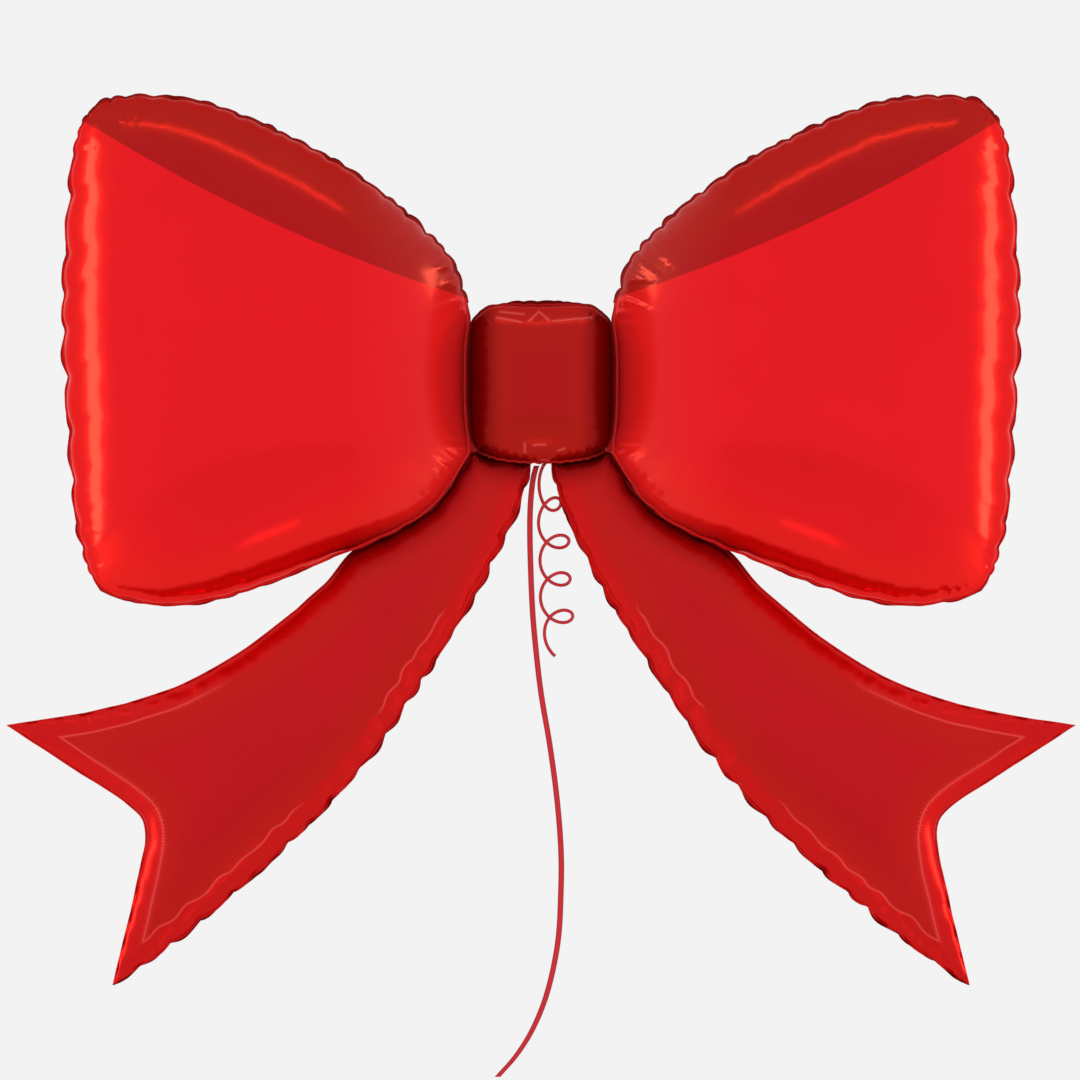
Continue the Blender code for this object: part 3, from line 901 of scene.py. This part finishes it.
# %% [markdown]
# The knot is the middle chamber, and everything else hangs on it. Its sides are darkened with painted
# shade where they meet the loops, so it looks like a band of cloth wrapped round the bow. Behind, its film
# stands a little higher.

# %% Blow the knot
KNOT_SIDE = [(-57, 142), (-65, 132), (-68.6, 110), (-69.2, 78), (-68.4, 44), (-65.2, 22), (-57, 9.5)]
KNOT_TOP = [(-57, 142), (-46, 148), (-25, 149.5), (0, 149), (25, 149.5), (46, 148), (57, 142)]
KNOT_BOTTOM = [(-57, 9.5), (-44, 4.4), (-24, 1.2), (0, 0), (24, 1.2), (44, 4.4), (57, 9.5)]

knot = Pouch(KNOT_TOP, KNOT_BOTTOM, KNOT_SIDE, mirrored(KNOT_SIDE),
             ((13, 0.9), (9, 1.2), (60, 0.05), (60, 0.05)), 110, 104, 44, power=0.5, seed=31)
knot.pucker(crease_depth=0.7, crease_reach=5, crease_width=2.0, ripple=0.25)
knot.sway *= 0.2
# Painted shade: the knot's colour darkens towards its sides, where it meets the loops.
knot.shade = 0.88 * fade(np.abs(knot.flat[:, 0]), 32, 62)
film("knot_front_blown", knot, -1, knot_foil, node="knot_front_film", body="knot")
film("knot_back_blown", knot, 1, knot_foil, spread=0.5, brow=3.2, edge_shade=0.9, node="knot_back_film",
     body="knot")

# %% [markdown]
# ## Welds, neck, valve and tie
#
# The loops hang on the knot by a narrow strip of the same film, welded on from behind. Below the
# knot the film runs out into the filling neck: it is bunched, tied off with ribbon, and its free
# end lies up behind the knot. A flat clear valve inside lets gas in and not out.


# %% Make thin bands along a path
def band(name, rows, thickness, material, node, body, bend=None):
    """A thin closed skin through rows of places; each row runs across the band.

    With bend given, the piece is baked where it stands and not attached; the contents of bend are not used.
    """
    rows = np.array(rows, float)
    count, wide = rows.shape[:2]
    along = np.gradient(rows, axis=0)
    across = np.gradient(rows, axis=1)
    normal = np.cross(along, across)
    normal /= np.linalg.norm(normal, axis=2)[..., None]
    both = np.concatenate([rows + normal * thickness / 2, rows - normal * thickness / 2]).reshape(-1, 3)
    number = np.arange(count * wide).reshape(count, wide)
    quads = np.column_stack([part.ravel() for part in (
        number[:-1, :-1], number[1:, :-1], number[1:, 1:], number[:-1, 1:])])
    loop = np.concatenate([number[0, :-1], number[:-1, -1], number[-1, :0:-1], number[:0:-1, 0]])
    ahead = np.roll(loop, -1)
    wall = np.column_stack([loop, ahead, ahead + count * wide, loop + count * wide])
    faces = np.vstack([quads, quads[:, ::-1] + count * wide, wall])
    data = bpy.data.meshes.new(name)
    data.from_pydata(both.tolist(), [], faces.tolist())
    skin = bmesh.new()
    skin.from_mesh(data)
    bmesh.ops.recalc_face_normals(skin, faces=skin.faces)
    skin.to_mesh(data)
    skin.free()
    data.shade_smooth()
    data.set_sharp_from_angle(angle=math.radians(50))
    piece = new_piece(name, data, material)
    if bend:
        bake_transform(piece)
    else:
        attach(piece, body)
    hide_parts(node)
    print(name, len(data.polygons), "faces")
    return piece


# %% Weld the strips and webs
# The strip follows the gap between knot and loop; the web joins knot and tail behind.
STRIP_LINE = [(-66.3, 129), (-69.0, 110), (-69.6, 78), (-68.8, 44), (-66.2, 24), (-63.3, 11)]
# Its half width, wider at the foot to close the corner between knot, loop and tail.
STRIP_HALF = ((0, 1.7), (0.86, 1.7), (0.93, 3.5), (1, 3.5))
strip_way = smooth_line(STRIP_LINE, np.linspace(0, 1, 90))
strip_half = np.interp(np.linspace(0, 1, 90), *zip(*STRIP_HALF))
for hand, turn in (("left", 1), ("right", -1)):
    rows = [[(turn * (x + half * offset) * MM, 0.78 * MM, z * MM) for offset in np.linspace(-1, 1, 7)]
            for (x, z), half in zip(strip_way, strip_half)]
    band(f"{hand}_weld_strip", rows, 0.22 * MM, strip_foil, f"{hand}_loop_hinge_weld", "knot",
         bend=(f"{hand}_loop", (turn * -58 * MM, 0, 0.08), (turn * -65.5 * MM, 0, 0.08)))
    rows = [[(-turn * x * MM, (1.1 + 3.9 * share) * MM, (3.0 + 0.25 * math.sin(x * 1.7 + 4 * share)) * MM)
             for x in np.linspace(20, 36, 33)] for share in np.linspace(0, 1, 9)]
    band(f"{hand}_tail_web_folded", rows, 0.5 * MM, strip_foil, f"{hand}_tail_hinge_web", "knot")

# %% [markdown]
# The neck is where the gas went in. Tied off, it is pleated at the ribbon and opens into a flat
# tongue, which is folded up behind the knot.

# %% Bunch the neck and lay its free end up behind the knot
# y and z of the neck's middle line in millimetres, from the knot's seam to the free end.
NECK_WAY = [(16.3, 2.3), (20, 2.6), (28, 7), (37, 16), (44, 26), (48.5, 36), (50, 46), (50, 75),
            (50, 104)]
NECK_NARROW, NECK_WIDE = 4.5, 17.0
NECK_PLEATS = 4.5


def neck_rows(gap):
    way = smooth_line(NECK_WAY, np.linspace(0, 1, 100))
    run = np.linspace(0, 1, 100)
    tangent = np.gradient(way, axis=0)
    tangent /= np.linalg.norm(tangent, axis=1)[:, None]
    rows = []
    for (y, z), (ty, tz), share in zip(way, tangent, run):
        open_up = min(share / 0.42, 1.0)
        half = NECK_NARROW + (NECK_WIDE - NECK_NARROW) * open_up ** 0.8
        row = []
        for x in np.linspace(-1, 1, 61):
            fold = 0.55 * (1 - 0.82 * open_up) * math.sin(NECK_PLEATS * math.pi * x + 0.4)
            fold += 0.35 * math.sin(2.2 * x + 9 * share) * open_up * (1 - share)
            rise = gap + fold
            row.append((half * x * MM, (y + tz * rise) * MM, (z - ty * rise) * MM))
        rows.append(row)
    return rows


neck_bend = ("filling_neck", (0, 16.6 * MM, 2.3 * MM), (0, 21.5 * MM, 2.3 * MM))
for side, gap in (("front", 0.0), ("back", 0.75)):
    band(f"neck_{side}_creased", neck_rows(gap), 0.25 * MM, knot_foil, f"neck_{side}_film", "knot",
         bend=neck_bend)
gather_rows = [[(4.5 * x * MM, y * MM, (2.2 + 0.42 * math.sin(5 * math.pi * x + 0.2 * y)) * MM)
                for x in np.linspace(-1, 1, 61)] for y in np.linspace(1.2, 15.5, 30)]
band("neck_gather_pleated", gather_rows, 0.45 * MM, knot_foil, "neck_gather", "knot")

# %% Lay the valve inside the knot
for name, y in (("front", -0.65), ("back", 0.45)):
    rows = [[(x * MM, (y + 0.04 * math.sin(x) * math.sin(z / 3)) * MM, z * MM)
             for x in np.linspace(-11, 11, 23)] for z in np.linspace(6, 66, 61)]
    band(f"valve_{name}_thin", rows, 0.2 * MM, valve_clear, f"valve_{name}_film", "knot")

# %% [markdown]
# The tie is thin ribbon wound four times round the gathered neck, with the same node tree as the
# other ribbons.

# %% Wind the tie
TIE_CENTRE = (0.0, 14.0, 2.2)
TIE_TURNS = 4
TIE_SIZE = (6.2, 2.0)
TIE_STEP = 0.78
tie_angle = np.linspace(0, 2 * math.pi * TIE_TURNS, TIE_TURNS * 40)
tie_swell = 1 + 0.04 * np.sin(tie_angle * 0.37)
tie_path = np.column_stack([
    TIE_SIZE[0] * tie_swell * np.cos(tie_angle) + TIE_CENTRE[0],
    TIE_CENTRE[1] + TIE_STEP * (tie_angle / (2 * math.pi) - TIE_TURNS / 2),
    TIE_SIZE[1] * tie_swell * np.sin(tie_angle) + TIE_CENTRE[2]]) * MM
tie_line = route_line("tie_route", tie_path, [(0, 1, 0)] * len(tie_path))
tie = bake_nodes("ribbon_tie_wound", tie_line, sweep, Width=0.0007, Ribs=2)
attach(tie, "knot")
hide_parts("ribbon_tie")
print("tie:", TIE_TURNS, "turns")
